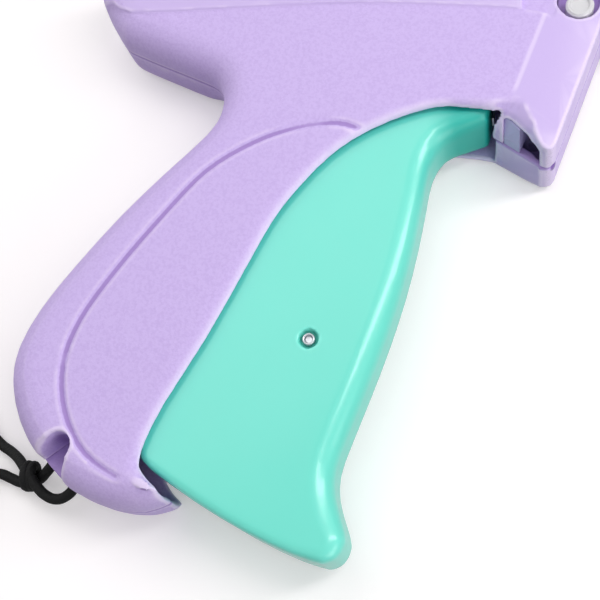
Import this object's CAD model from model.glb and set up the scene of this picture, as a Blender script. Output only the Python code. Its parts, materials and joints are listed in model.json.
import json
import math
import bmesh
import bpy
from mathutils import Matrix, Vector


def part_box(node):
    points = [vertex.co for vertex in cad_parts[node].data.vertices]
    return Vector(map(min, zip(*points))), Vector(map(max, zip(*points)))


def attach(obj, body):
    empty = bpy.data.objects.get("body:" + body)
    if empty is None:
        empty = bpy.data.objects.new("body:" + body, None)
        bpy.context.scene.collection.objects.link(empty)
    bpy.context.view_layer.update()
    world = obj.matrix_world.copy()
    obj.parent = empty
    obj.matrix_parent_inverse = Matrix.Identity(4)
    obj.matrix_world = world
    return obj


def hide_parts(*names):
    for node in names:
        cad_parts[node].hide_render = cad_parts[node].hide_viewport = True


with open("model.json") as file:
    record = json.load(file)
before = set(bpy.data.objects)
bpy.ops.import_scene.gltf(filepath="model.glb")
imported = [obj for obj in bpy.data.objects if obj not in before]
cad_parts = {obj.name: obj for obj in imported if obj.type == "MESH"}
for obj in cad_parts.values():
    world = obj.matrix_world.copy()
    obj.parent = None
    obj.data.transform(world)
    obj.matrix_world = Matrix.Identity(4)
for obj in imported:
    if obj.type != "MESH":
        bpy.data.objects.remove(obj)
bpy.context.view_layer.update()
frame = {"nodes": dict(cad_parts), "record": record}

# places and sizes are in millimetres, and mm turns them into the scene's metres
mm = 0.001
nodes = frame["nodes"]
slotOf = {part["node"]: part["material_slot"] for part in frame["record"]["subparts"]}

# the camera stands where the photograph's perspective puts it
camera = {
    "place": (22.27, -152.04, 264.64),
    "forward": (-0.2329, 0.3336, -0.9135),
    "up": (-0.0442, 0.9347, 0.3526),
    "lens": 61.8,
    "sensor": 36,
    "nearest": 10,
}


def intoScene(name, data):
    made = bpy.data.objects.new(name, data)
    bpy.context.scene.collection.objects.link(made)
    return made


def makeCamera(c):
    data = bpy.data.cameras.new("camera")
    data.lens = c["lens"]
    data.sensor_width = c["sensor"]
    data.clip_start = c["nearest"] * mm
    forward = Vector(c["forward"]).normalized()
    side = forward.cross(Vector(c["up"])).normalized()
    up = side.cross(forward)
    aim = Matrix((side, up, -forward)).transposed().to_4x4()
    made = intoScene("camera", data)
    made.matrix_world = Matrix.Translation(Vector(c["place"]) * mm) @ aim
    bpy.context.scene.camera = made


makeCamera(camera)
print("camera made")


class Wire:
    # one output socket, whose sums add Math nodes
    def __init__(self, owner, socket):
        self.owner = owner
        self.socket = socket

    def __add__(self, other):
        return self.owner.maths("ADD", self, other)

    def __radd__(self, other):
        return self.owner.maths("ADD", other, self)

    def __sub__(self, other):
        return self.owner.maths("SUBTRACT", self, other)

    def __rsub__(self, other):
        return self.owner.maths("SUBTRACT", other, self)

    def __mul__(self, other):
        return self.owner.maths("MULTIPLY", self, other)

    def __rmul__(self, other):
        return self.owner.maths("MULTIPLY", other, self)


class NodeTree:
    # the nodes of the floor, the sky or a finish
    def __init__(self, tree):
        self.tree = tree

    def node(self, kind, settings, *values, output=0, **named):
        # values go to the first sockets in order, where None leaves one alone, and named ones by name
        made = self.tree.nodes.new(kind)
        for key, value in settings.items():
            setattr(made, key, value)
        for socket, value in zip(made.inputs, values):
            self.feed(socket, value)
        for name, value in named.items():
            self.feed(made.inputs[name], value)
        return Wire(self, made.outputs[output])

    def feed(self, socket, value):
        if isinstance(value, Wire):
            self.tree.links.new(value.socket, socket)
        elif value is not None:
            socket.default_value = value

    def maths(self, operation, *values):
        return self.node("ShaderNodeMath", {"operation": operation}, *values)


class Finish(NodeTree):
    # a piece's material, where finish["Roughness"] = value sets or links a shader socket
    def __init__(self, name):
        self.material = bpy.data.materials.new(name)
        self.material.use_nodes = True
        super().__init__(self.material.node_tree)
        self.shader = self.tree.nodes["Principled BSDF"]
        self.coords = self.node("ShaderNodeTexCoord", {}, output="Object")
        self.x, self.y, self.z = [
            self.node("ShaderNodeSeparateXYZ", {}, self.coords, output=axis) for axis in "XYZ"]

    def __setitem__(self, name, value):
        self.feed(self.shader.inputs[name], value)

    def noise(self, size, detail=2, rough=0.5):
        # soft grains about this many millimetres across
        return self.node("ShaderNodeTexNoise", {}, Vector=self.coords, Scale=1 / (size * mm),
                         Detail=detail, Roughness=rough, output="Fac")

    def mix(self, share, low, high):
        # one colour over another; the five sockets between are for numbers and vectors
        skipped = [None] * 5
        return self.node("ShaderNodeMix", {"data_type": "RGBA"}, share, *skipped, low, high, output=2)

    def step(self, value, low, high):
        # 0 below low, 1 above high, smooth between
        return self.node("ShaderNodeMapRange", {"interpolation_type": "SMOOTHSTEP", "clamp": True},
                         value, low, high, 0.0, 1.0)

    def between(self, mask, off, on):
        # off where the mask is 0 and on where it is 1
        return off + mask * (on - off)

    def past(self, value, limits):
        # a step between two limits in millimetres
        low, high = limits
        return self.step(value, low * mm, high * mm)

    def near(self, place, limits):
        # 1 closer to a place than the first limit, 0 further off than the second
        distance = self.node("ShaderNodeVectorMath", {"operation": "DISTANCE"}, self.coords,
                             [value * mm for value in place], output="Value")
        return 1 - self.past(distance, limits)

    def turn(self):
        # how sharply the surface turns here, see markEdges
        return self.node("ShaderNodeAttribute", {"attribute_name": "turn"}, output="Fac")

    def bump(self, height, depth):
        # height runs from 0 to 1, and 1 stands for depth in millimetres
        self["Normal"] = self.node("ShaderNodeBump", {}, Height=height, Distance=depth * mm,
                                   Strength=1.0, output="Normal")


def linear(r, g, b):
    # a colour read off a screen, 0 to 255, as scene light
    return tuple((c / 255) ** 2.2 for c in (r, g, b)) + (1.0,)


parting = 12.5    # height of the plane where the two halves meet

# moulded ABS with a fine grain, smooth on the roof panel and the nose facet
# a pair gives where a zone's edge starts and ends, gloss is taken from the roughness and dull is added to it
lavender = {
    "colour": linear(208, 186, 240),
    "smoothColour": linear(203, 182, 234),
    "fleck": linear(190, 164, 225),
    "edge": linear(236, 220, 252),
    "crease": linear(150, 118, 190),
    "depths": linear(112, 76, 158),
    "edgeTurn": (0.05, 0.3),        # bend per millimetre, as markEdges writes it
    "creaseTurn": (0.045, 0.22),
    "seam": (0.15, 0.5),            # distance from the parting plane
    "seamClear": (0.5, 1.2),
    "facetSlope": 14.3 / 50,        # how far the facet's ridge leans forward as y grows
    "facet": (12.0, 13.0),
    "roofPanel": (25.1, 25.3),
    "roof": {"y": (14, 17), "z": (23.5, 24.2)},
    "nose": (-6, -2),
    "ridge": {"rise": (11.4, 12.3), "fall": (12.6, 13.5), "z": (21, 22.5), "start": (-4.5, -1.5),
              "end": (20.5, 22)},
    "hubPocket": {"start": (20.6, 21.3), "end": (32.8, 33.4), "y": (19.2, 19.8), "top": (20.5, 23)},
    "cordNotch": {"at": (-96.6, -101.6, 17.5), "reach": (3, 7.5), "top": (20.5, 23.5)},
    "tipHole": {"at": (22.6, -18.4, 11.5), "reach": (0.9, 1.7)},
    "grain": 0.7,                   # sizes of the patterns' patches
    "pitting": 0.9,
    "mottle": 0.85,
    "mottleRange": (0.38, 0.68),
    "cloud": 34,
    "grainDepth": 0.13,
    "grainShare": 0.7,              # pitting has the rest
    "smoothShare": 0.7,
    "smoothGrain": 0.12,
    "roughness": 0.54,
    "smoothGloss": 0.14,
    "wornGloss": 0.12,
    "grainGloss": 0.12,
    "specular": 0.3,
    "strength": {"mottle": 0.46, "smoothMottle": 0.06, "worn": 0.75, "wornRoof": 0.45, "ridge": 0.6,
                 "pocket": 0.8, "notch": 0.75, "seam": 0.55, "tipHole": 0.9, "crease": 0.75,
                 "noseCrease": 0.25},
}


def ridgeLight(look, s, ahead):
    # the worn line between the flat top and the nose facet
    r = s["ridge"]
    across = look.past(ahead, r["rise"]) * (1 - look.past(ahead, r["fall"]))
    along = (1 - look.past(look.y, r["end"])) * look.past(look.y, r["start"])
    return across * look.past(look.z, r["z"]) * along


def lavenderDepths(look, s):
    # the pocket of the needle's base, the cord's notch and the hole at the chin's tip
    hub, cord, tip = s["hubPocket"], s["cordNotch"], s["tipHole"]
    across = look.past(look.x, hub["start"]) * (1 - look.past(look.x, hub["end"]))
    pocket = across * look.past(look.y, hub["y"]) * (1 - look.past(look.z, hub["top"]))
    notch = look.near(cord["at"], cord["reach"]) * (1 - look.past(look.z, cord["top"]))
    return pocket, notch, look.near(tip["at"], tip["reach"])


def makeLavender(s):
    look = Finish("lavenderHousing")
    strength = s["strength"]
    grain = look.noise(s["grain"], detail=3, rough=0.6)
    pitting = look.noise(s["pitting"])
    mottle = look.step(look.noise(s["mottle"], rough=0.6), *s["mottleRange"])
    ahead = look.x - look.y * s["facetSlope"]
    smooth = look.maths("MAXIMUM", look.past(ahead, s["facet"]), look.past(look.z, s["roofPanel"]))
    offSeam = look.maths("ABSOLUTE", look.z - parting * mm)
    seam = 1 - look.past(offSeam, s["seam"])
    roof = look.past(look.y, s["roof"]["y"]) * look.past(look.z, s["roof"]["z"])
    nose = look.past(look.x, s["nose"])
    worn = look.step(look.turn(), *s["edgeTurn"]) * look.past(offSeam, s["seamClear"])
    worn = worn * look.between(roof, 1, strength["wornRoof"])
    crease = look.step(0 - look.turn(), *s["creaseTurn"]) * (1 - roof)
    pocket, notch, tipHole = lavenderDepths(look, s)

    tone = smooth * s["smoothShare"] + look.noise(s["cloud"]) * (1 - s["smoothShare"])
    base = look.mix(tone, s["colour"], s["smoothColour"])
    layers = [
        (mottle * look.between(smooth, strength["mottle"], strength["smoothMottle"]), s["fleck"]),
        (worn * strength["worn"], s["edge"]),
        (ridgeLight(look, s, ahead) * strength["ridge"], s["edge"]),
        (pocket * strength["pocket"], s["crease"]),
        (notch * strength["notch"], s["depths"]),
        (seam * strength["seam"], s["crease"]),
        (tipHole * strength["tipHole"], s["depths"]),
        (crease * look.between(nose, strength["crease"], strength["noseCrease"]), s["crease"]),
    ]
    for share, colour in layers:
        base = look.mix(share, base, colour)
    look["Base Color"] = base
    gloss = smooth * s["smoothGloss"] + worn * s["wornGloss"] - (grain - 0.5) * s["grainGloss"]
    look["Roughness"] = s["roughness"] - gloss
    look["Specular IOR Level"] = s["specular"]
    skin = grain * s["grainShare"] + pitting * (1 - s["grainShare"])
    look.bump(skin * look.between(smooth, 1, s["smoothGrain"]), s["grainDepth"])
    return look.material


# glossy ABS, duller and darker on the arm that goes into the chin
teal = {
    "colour": linear(92, 216, 197),
    "cloudColour": linear(100, 222, 204),
    "edge": linear(120, 240, 224),
    "arm": linear(12, 174, 160),
    "crease": linear(22, 118, 106),
    "armFrom": (-12, -2.5),
    "edgeTurn": (0.08, 0.4),
    "creaseTurn": (0.05, 0.3),
    "cloud": 40,
    "ripple": 7,
    "fine": 0.5,
    "rippleShare": 0.75,
    "depth": 0.02,
    "roughness": 0.3,
    "rippleDull": 0.1,
    "armDull": 0.1,
    "wornGloss": 0.06,
    "specular": 0.6,
    "coat": 0.6,
    "armCoat": 0.15,
    "coatRoughness": 0.16,
    "strength": {"worn": 0.5, "arm": 0.95, "crease": 0.85},
}


def makeTeal(s):
    look = Finish("tealTrigger")
    strength = s["strength"]
    ripple = look.noise(s["ripple"], rough=0.4)
    fine = look.noise(s["fine"])
    worn = look.step(look.turn(), *s["edgeTurn"])
    crease = look.step(0 - look.turn(), *s["creaseTurn"])
    arm = look.past(look.x, s["armFrom"])
    base = look.mix(look.noise(s["cloud"]), s["colour"], s["cloudColour"])
    base = look.mix(worn * strength["worn"], base, s["edge"])
    base = look.mix(arm * strength["arm"], base, s["arm"])
    look["Base Color"] = look.mix(crease * strength["crease"], base, s["crease"])
    look["Roughness"] = s["roughness"] + ripple * s["rippleDull"] + arm * s["armDull"] - worn * s["wornGloss"]
    look["Specular IOR Level"] = s["specular"]
    look["Coat Weight"] = look.between(arm, s["coat"], s["armCoat"])
    look["Coat Roughness"] = s["coatRoughness"]
    look.bump(ripple * s["rippleShare"] + fine * (1 - s["rippleShare"]), s["depth"])
    return look.material


# the small mouldings, each between two close tones
plain = {
    "insert": {"name": "greyInsert", "tones": (linear(184, 176, 222), linear(192, 184, 228)),
               "roughness": 0.5, "coat": 0.0},
    "hub": {"name": "whiteHub", "tones": (linear(206, 205, 209), linear(214, 213, 216)),
            "roughness": 0.3, "coat": 0.3},
    "lever": {"name": "inkLever", "tones": (linear(26, 30, 54), linear(34, 38, 64)),
              "roughness": 0.42, "coat": 0.0},
    "gearing": {"name": "smokeAcetal", "tones": (linear(96, 96, 102), linear(108, 108, 114)),
                "roughness": 0.42, "coat": 0.0},
}
plainSkin = {"cloud": 12, "fine": 0.45, "depth": 0.01, "gloss": 0.05, "cloudDull": 0.06, "fineDull": 0.04}


def makePlain(s, skin):
    look = Finish(s["name"])
    cloud = look.noise(skin["cloud"], detail=3, rough=0.55)
    fine = look.noise(skin["fine"])
    look["Base Color"] = look.mix(cloud, *s["tones"])
    dull = cloud * skin["cloudDull"] + fine * skin["fineDull"]
    look["Roughness"] = s["roughness"] - skin["gloss"] + dull
    look["Coat Weight"] = s["coat"]
    look.bump(fine, skin["depth"])
    return look.material


# drawn or ground steel, streaked along one axis; streaks are counted per metre
steel = {
    "tones": (linear(150, 152, 158), linear(182, 184, 188)),
    "across": 2600.0,
    "along": 90.0,
    "drawn": 0.3,          # roughness of the pins and springs, and of the needle and rod
    "ground": 0.22,
    "depth": 0.004,
    "gloss": 0.06,
    "streakDull": 0.14,
}


def makeSteel(name, axis, roughness, s):
    look = Finish(name)
    stretch = [s["along"] if each == axis else s["across"] for each in "XYZ"]
    scaled = look.node("ShaderNodeVectorMath", {"operation": "MULTIPLY"}, look.coords, stretch)
    streak = look.node("ShaderNodeTexNoise", {}, Vector=scaled, Scale=1.0, Detail=3.0, output="Fac")
    look["Base Color"] = look.mix(streak, *s["tones"])
    look["Metallic"] = 1.0
    look["Roughness"] = roughness - s["gloss"] + streak * s["streakDull"]
    look.bump(streak, s["depth"])
    return look.material


# braided black cord; its strands are counted per metre
braid = {
    "tones": (linear(10, 10, 12), linear(3, 3, 4)),
    "strands": 1500.0,
    "fuzz": 0.18,
    "weaveShare": 0.8,
    "depth": 0.22,
    "roughness": 0.62,
    "fuzzDull": 0.2,
    "specular": 0.2,
}


def makeBraid(s):
    look = Finish("blackCord")
    weave = look.node("ShaderNodeTexVoronoi", {"feature": "SMOOTH_F1"}, Vector=look.coords,
                      Scale=s["strands"], output="Distance")
    fuzz = look.noise(s["fuzz"], detail=3, rough=0.7)
    look["Base Color"] = look.mix(weave, *s["tones"])
    look["Roughness"] = s["roughness"] + fuzz * s["fuzzDull"]
    look["Specular IOR Level"] = s["specular"]
    look.bump((1 - weave) * s["weaveShare"] + fuzz * (1 - s["weaveShare"]), s["depth"])
    return look.material


# the keys are the record's material slots
looks = {
    "housing": makeLavender(lavender),
    "trigger": makeTeal(teal),
    "steel": makeSteel("drawnSteel", "Z", steel["drawn"], steel),
    "cord": makeBraid(braid),
}
for slot, settings in plain.items():
    looks[slot] = makePlain(settings, plainSkin)
needleSteel = makeSteel("needleSteel", "X", steel["ground"], steel)

for name, node in nodes.items():
    node.data.materials.clear()
    alongX = name in ("needle", "push_rod")
    node.data.materials.append(needleSteel if alongX else looks[slotOf[name]])
print("materials made")


def asPiece(name, data, body, slot):
    piece = intoScene(name, data)
    data.materials.clear()
    data.materials.append(looks[slot])
    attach(piece, body)
    return piece


# the wrist cord goes from the post in the butt to a loose coil and back
lanyard = {
    "diameter": 3.0,
    "drawn": 0.975,        # share of the diameter that is drawn, so that crossing turns stay apart
    "exit": (-98, -107.2, 7.4),
    "strandA": [
        (-98, -107.2, 7.4), (-100, -105.9, 7.4), (-102.6, -106, 7.4),
        (-105.4, -107.9, 7.1), (-108, -110.4, 5.6), (-110.6, -112.4, 3.7), (-113.4, -113.5, 2.5),
        (-116.8, -113.6, 1.8), (-120.4, -112.6, 1.6), (-124, -111.7, 1.8), (-127.2, -112.6, 3),
        (-130, -115, 4.6), (-132.6, -118.4, 5.2), (-135.6, -121.2, 5.2), (-138.6, -123.6, 4.2),
        (-141.2, -125.2, 2.6)],
    "strandB": [
        (-97.6, -111.8, 7.4), (-98.6, -114.4, 7), (-100.6, -116.6, 6.3),
        (-103.6, -117.7, 5.8), (-106.8, -117, 5.9), (-109.6, -115, 6.5), (-112, -112.6, 6.8),
        (-114.6, -110.2, 6.1), (-117.8, -107.6, 4.3), (-121.6, -105.4, 2.3), (-125.8, -103.3, 1.5),
        (-129.4, -100.2, 1.5), (-132, -96.6, 1.5), (-134.9, -93.9, 1.5), (-140, -92.6, 1.5)],
    "coil": {"at": (-148, -112.3), "radius": 20, "pitch": 4.2, "start": 80, "sweep": 550, "steps": 36},
}
hitch = {
    "at": (-113.4, -112, 4.4),
    "radius": 2.9,
    "flatness": 0.92,
    "length": 3.3,
    "start": 200,
    "stepTurn": 25,
    "steps": 28,
    "diameter": 2.88,
}


def coilPoints(c, height):
    points = []
    for step in range(c["steps"] + 1):
        turned = c["sweep"] * step / c["steps"]
        angle = math.radians(c["start"] + turned)
        radius = c["radius"] - c["pitch"] * turned / 360
        points.append((c["at"][0] + radius * math.cos(angle), c["at"][1] + radius * math.sin(angle), height))
    return points


def hitchPoints(h):
    points = []
    for step in range(h["steps"] + 1):
        angle = math.radians(h["start"] + h["stepTurn"] * step)
        along = (step / h["steps"] - 0.5) * h["length"]
        across, rise = h["radius"] * math.cos(angle), h["radius"] * h["flatness"] * math.sin(angle)
        points.append(Vector(h["at"]) + Vector((along, across, rise)))
    return points


def cordThrough(name, points, diameter):
    data = bpy.data.curves.new(name, "CURVE")
    data.dimensions = "3D"
    data.bevel_depth = diameter / 2 * mm
    data.bevel_resolution = 5
    data.resolution_u = 6
    data.use_fill_caps = True
    line = data.splines.new("BEZIER")
    line.bezier_points.add(len(points) - 1)
    for point, place in zip(line.bezier_points, points):
        point.co = Vector(place) * mm
        point.handle_left_type = "AUTO"
        point.handle_right_type = "AUTO"
    return asPiece(name, data, "housing", "cord")


def makeLanyard(c, h):
    coil = coilPoints(c["coil"], c["diameter"] / 2)
    route = c["strandA"] + coil[::-1] + c["strandB"][::-1]
    cord = cordThrough("lanyard", route, c["diameter"] * c["drawn"])
    knot = cordThrough("hitch", hitchPoints(h), h["diameter"] * c["drawn"])
    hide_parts("lanyard_strand_a", "lanyard_strand_b", "lanyard_coil")
    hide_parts("lanyard_knot")


makeLanyard(lanyard, hitch)


def ramp(value, start, end):
    # 0 at start, 1 at end, straight between, whichever of the two is larger
    return min(max((value - start) / (end - start), 0.0), 1.0)


def modified(mesh, stack, shares=None, levels=8):
    # the mesh after a stack of modifiers, as a mesh of its own
    # shares, from 0 to 1, are its vertices' weights in the group heavy, to the nearest level
    block = intoScene("block", mesh)
    if shares:
        group = block.vertex_groups.new(name="heavy")
        for level in range(1, levels + 1):
            chosen = [v for v, share in enumerate(shares) if round(share * levels) == level]
            group.add(chosen, level / levels, "REPLACE")
    for kind, settings in stack:
        modifier = block.modifiers.new(kind, kind)
        for key, value in settings.items():
            setattr(modifier, key, value)
    depsgraph = bpy.context.evaluated_depsgraph_get()
    made = bpy.data.meshes.new_from_object(block.evaluated_get(depsgraph))
    bpy.data.objects.remove(block)
    return made


def intoMesh(name, bm):
    mesh = bpy.data.meshes.new(name)
    bm.to_mesh(mesh)
    bm.free()
    return mesh


def mergedCopy(nodeName, gap):
    # the node's loose triangles joined where they meet
    bm = bmesh.new()
    bm.from_mesh(nodes[nodeName].data)
    bmesh.ops.remove_doubles(bm, verts=bm.verts, dist=gap * mm)
    return intoMesh("merged", bm)


def withSink(mesh, sink):
    # a round sink in the top face, like the ring round the photographed pin
    bm = bmesh.new()
    radius = sink["radius"] * mm
    bmesh.ops.create_cone(bm, cap_ends=True, segments=sink["segments"], radius1=radius, radius2=radius,
                          depth=sink["depth"] * 2 * mm)
    bmesh.ops.translate(bm, verts=bm.verts, vec=Vector(sink["at"]) * mm)
    cutter = intoScene("cutter", intoMesh("cutter", bm))
    cut = modified(mesh, [("BOOLEAN", {"operation": "DIFFERENCE", "object": cutter, "solver": "EXACT"})])
    bpy.data.objects.remove(cutter)
    return cut


def easedMesh(name, mesh, s, heavyAt):
    # the same shape on an even grid, its hard edges rounded as a mould leaves them
    even = modified(mesh, [
        ("REMESH", {"mode": "VOXEL", "voxel_size": s["voxel"] * mm, "use_smooth_shade": True})])
    shares = [heavyAt(vertex.co / mm) for vertex in even.vertices]
    eased = modified(even, [
        ("SMOOTH", {"factor": s["factor"], "iterations": s["rounds"]}),
        ("SMOOTH", {"factor": s["factor"], "iterations": s["heavyRounds"], "vertex_group": "heavy"}),
        ("DECIMATE", {"ratio": s["keep"]})], shares)
    eased.name = name
    return eased


def markEdges(mesh, passes):
    # attribute turn: the surface's bend per millimetre, above 0 on edges and below 0 in creases
    places = [vertex.co.copy() for vertex in mesh.vertices]
    normals = [vertex.normal.copy() for vertex in mesh.vertices]
    pairs = [tuple(edge.vertices) for edge in mesh.edges]
    tiny = 1e-10
    turn, count = [0.0] * len(places), [0] * len(places)
    for i, j in pairs:
        way = places[j] - places[i]
        bend = (normals[j] - normals[i]).dot(way) / max(way.length_squared, tiny) * mm
        for end in (i, j):
            turn[end] += bend
            count[end] += 1
    turn = [total / max(n, 1) for total, n in zip(turn, count)]
    for once in range(passes):
        total = turn[:]
        for i, j in pairs:
            total[i] += turn[j]
            total[j] += turn[i]
        turn = [each / (n + 1) for each, n in zip(total, count)]
    mesh.attributes.new("turn", "FLOAT", "POINT").data.foreach_set("value", turn)


def makeMoulding(nodeName, name, body, s, heavyAt):
    # a node's shape as a moulding with eased edges, which stands for the node
    mesh = mergedCopy(nodeName, s["merge"])
    if "sink" in s:
        mesh = withSink(mesh, s["sink"])
    mesh = easedMesh(name, mesh, s, heavyAt)
    markEdges(mesh, s["edgePasses"])
    piece = asPiece(name, mesh, body, slotOf[nodeName])
    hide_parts(nodeName)
    print(name, "eased,", len(mesh.polygons), "faces")


# the two halves of the housing
# heavy gives where the walls are blended the most, as pairs of places where that starts and is full
shell = {
    "merge": 0.004,
    "voxel": 0.4,
    "factor": 0.5,
    "rounds": 6,
    "heavyRounds": 60,
    "keep": 0.36,          # share of the faces that is kept
    "edgePasses": 3,
    "heavy": {
        "behindNose": (-2, -8),
        "offParting": (1.2, 2.6),
        "offTable": (0.4, 1.0),
        "underTop": (24.4, 23.7),
        "tailBend": {"x": (-36, -42), "yFrom": (-16, -10), "yTo": (21, 19)},
    },
}


def shellHeavy(p):
    # away from the parting edge, the flats and the grip's groove, but for the bend under the tail
    h = shell["heavy"]
    b = h["tailBend"]
    bend = ramp(p.x, *b["x"]) * ramp(p.y, *b["yFrom"]) * ramp(p.y, *b["yTo"])
    wall = ramp(p.z, *h["offTable"]) * ramp(p.z, *h["underTop"])
    return ramp(p.x, *h["behindNose"]) * ramp(abs(p.z - parting), *h["offParting"]) * max(wall, bend)


pinAt = (-36.3, -73.5)
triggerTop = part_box("trigger")[1][2] / mm
triggerSkin = {
    "merge": 0.004,
    "voxel": 0.5,
    "factor": 0.5,
    "rounds": 3,
    "heavyRounds": 14,
    "keep": 0.6,
    "edgePasses": 3,
    "heavy": (3.2, 5),
    "sink": {"at": (*pinAt, triggerTop), "radius": 2.45, "depth": 1.3, "segments": 64},
}


def triggerHeavy(p):
    # everywhere but round the pin, where the sink stays crisp
    return ramp(math.dist(p.xy, pinAt), *triggerSkin["heavy"])


makeMoulding("left_shell", "leftHalf", "housing", shell, shellHeavy)
makeMoulding("right_shell", "rightHalf", "housing", shell, shellHeavy)
makeMoulding("trigger", "triggerSkin", "trigger", triggerSkin, triggerHeavy)

# a rolled steel pin with cupped ends; end gives radius and height over the node's own end
rollPin = {
    "at": pinAt,
    "end": [(0, -0.9), (0.85, -0.9), (1.1, -0.15), (1.35, 0), (1.55, -0.1), (1.75, -0.4), (1.75, -1.2),
            (1.55, -1.3)],
    "segments": 64,
    "merge": 0.001,
    "edgeWidth": 0.06,
    "edgeSegments": 2,
}


def makeRollPin(c):
    low, high = [corner[2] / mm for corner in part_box("roll_pin")]
    profile = [(r, high + z) for r, z in c["end"]] + [(r, low - z) for r, z in reversed(c["end"])]
    bm = bmesh.new()
    line = [bm.verts.new(Vector((c["at"][0] + r, c["at"][1], z)) * mm) for r, z in profile]
    edges = [bm.edges.new(pair) for pair in zip(line, line[1:])]
    bmesh.ops.spin(bm, geom=line + edges, cent=Vector((*c["at"], 0)) * mm, axis=(0, 0, 1),
                   angle=math.tau, steps=c["segments"], use_merge=True)
    bmesh.ops.remove_doubles(bm, verts=bm.verts, dist=c["merge"] * mm)
    bmesh.ops.recalc_face_normals(bm, faces=bm.faces)
    for face in bm.faces:
        face.smooth = True
    pin = asPiece("rollPin", intoMesh("rollPin", bm), "trigger", slotOf["roll_pin"])
    ease = pin.modifiers.new("easedEdges", "BEVEL")
    ease.width = c["edgeWidth"] * mm
    ease.segments = c["edgeSegments"]
    ease.limit_method = "ANGLE"
    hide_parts("roll_pin")


makeRollPin(rollPin)
print("mouldings made")

# places and sizes of the stage are in metres, powers in watts
stage = {
    "floorSize": 0.55,
    "floorDrop": 0.0002,
    "floorSeen": (0.84, 0.8, 0.81, 1.0),
    "floorBounce": (0.52, 0.52, 0.52, 1.0),
    "floorGlow": 0.3,
    "skyRise": (-0.6, 0.9),
    "skyLow": 0.42,
    "skyLight": 0.36,
    "skyGloss": 1.5,
    "white": (1.0, 1.0, 1.0, 1.0),
    "lampAim": (-0.04, -0.04, 0.0),
    "lamps": {
        "key": {"place": (-0.34, 0.34, 0.62), "size": (0.7, 0.7), "power": 1.75},
        "fill": {"place": (0.1, -0.5, 0.5), "size": (0.8, 0.8), "power": 0.45},
        "strip": {"place": (0.3, 0.06, 0.42), "size": (0.1, 0.5), "power": 1.3},
        "low": {"place": (0.5, -0.42, 0.2), "size": (0.6, 0.5), "power": 1.9},
        "back": {"place": (-0.6, 0.1, 0.3), "size": (0.4, 0.4), "power": 0.5},
    },
}


def makeFloor(s):
    # the camera sees a paler floor than the one that lights the object from below
    bm = bmesh.new()
    bmesh.ops.create_grid(bm, x_segments=1, y_segments=1, size=s["floorSize"])
    mesh = intoMesh("floor", bm)
    floor = intoScene("floor", mesh)
    floor.location.z = -s["floorDrop"]
    material = bpy.data.materials.new("paleFloor")
    material.use_nodes = True
    look = NodeTree(material.node_tree)
    seen = look.node("ShaderNodeLightPath", {}, output="Is Camera Ray")
    gloss = look.node("ShaderNodeLightPath", {}, output="Is Glossy Ray")
    glow = look.node("ShaderNodeEmission", {}, Strength=look.maths("MAXIMUM", seen, gloss) * s["floorGlow"])
    pale = look.node("ShaderNodeBsdfDiffuse", {}, s["floorSeen"])
    dim = look.node("ShaderNodeBsdfDiffuse", {}, s["floorBounce"])
    either = look.node("ShaderNodeMixShader", {}, seen, dim, pale)
    both = look.node("ShaderNodeAddShader", {}, either, glow)
    look.feed(look.tree.nodes["Material Output"].inputs["Surface"], both)
    mesh.materials.append(material)


def makeSky(s):
    # brighter from above and behind the roof, and plain white where the camera sees it
    world = bpy.data.worlds.new("softSky")
    bpy.context.scene.world = world
    world.use_nodes = True
    sky = NodeTree(world.node_tree)
    way = sky.node("ShaderNodeTexCoord", {}, output="Generated")
    y, z = [sky.node("ShaderNodeSeparateXYZ", {}, way, output=axis) for axis in "YZ"]
    share = sky.node("ShaderNodeMapRange", {"clamp": True}, y + z, *s["skyRise"], s["skyLow"], 1.0)
    gloss = sky.node("ShaderNodeLightPath", {}, output="Is Glossy Ray")
    level = sky.node("ShaderNodeMapRange", {}, gloss, 0.0, 1.0, s["skyLight"], s["skyGloss"])
    seen = sky.node("ShaderNodeLightPath", {}, output="Is Camera Ray")
    background = sky.tree.nodes["Background"]
    sky.feed(background.inputs["Color"], s["white"])
    sky.feed(background.inputs["Strength"], sky.maths("MAXIMUM", share * level, seen))


def makeLamp(name, lamp, aim):
    data = bpy.data.lights.new(name, "AREA")
    data.shape = "RECTANGLE"
    data.size, data.size_y = lamp["size"]
    data.energy = lamp["power"]
    made = intoScene(name, data)
    made.location = lamp["place"]
    way = Vector(aim) - made.location
    made.rotation_euler = way.to_track_quat("-Z", "Y").to_euler()


makeFloor(stage)
makeSky(stage)
for name, lamp in stage["lamps"].items():
    makeLamp(name, lamp, stage["lampAim"])
bpy.context.scene.view_settings.view_transform = "Standard"
print("stage made")
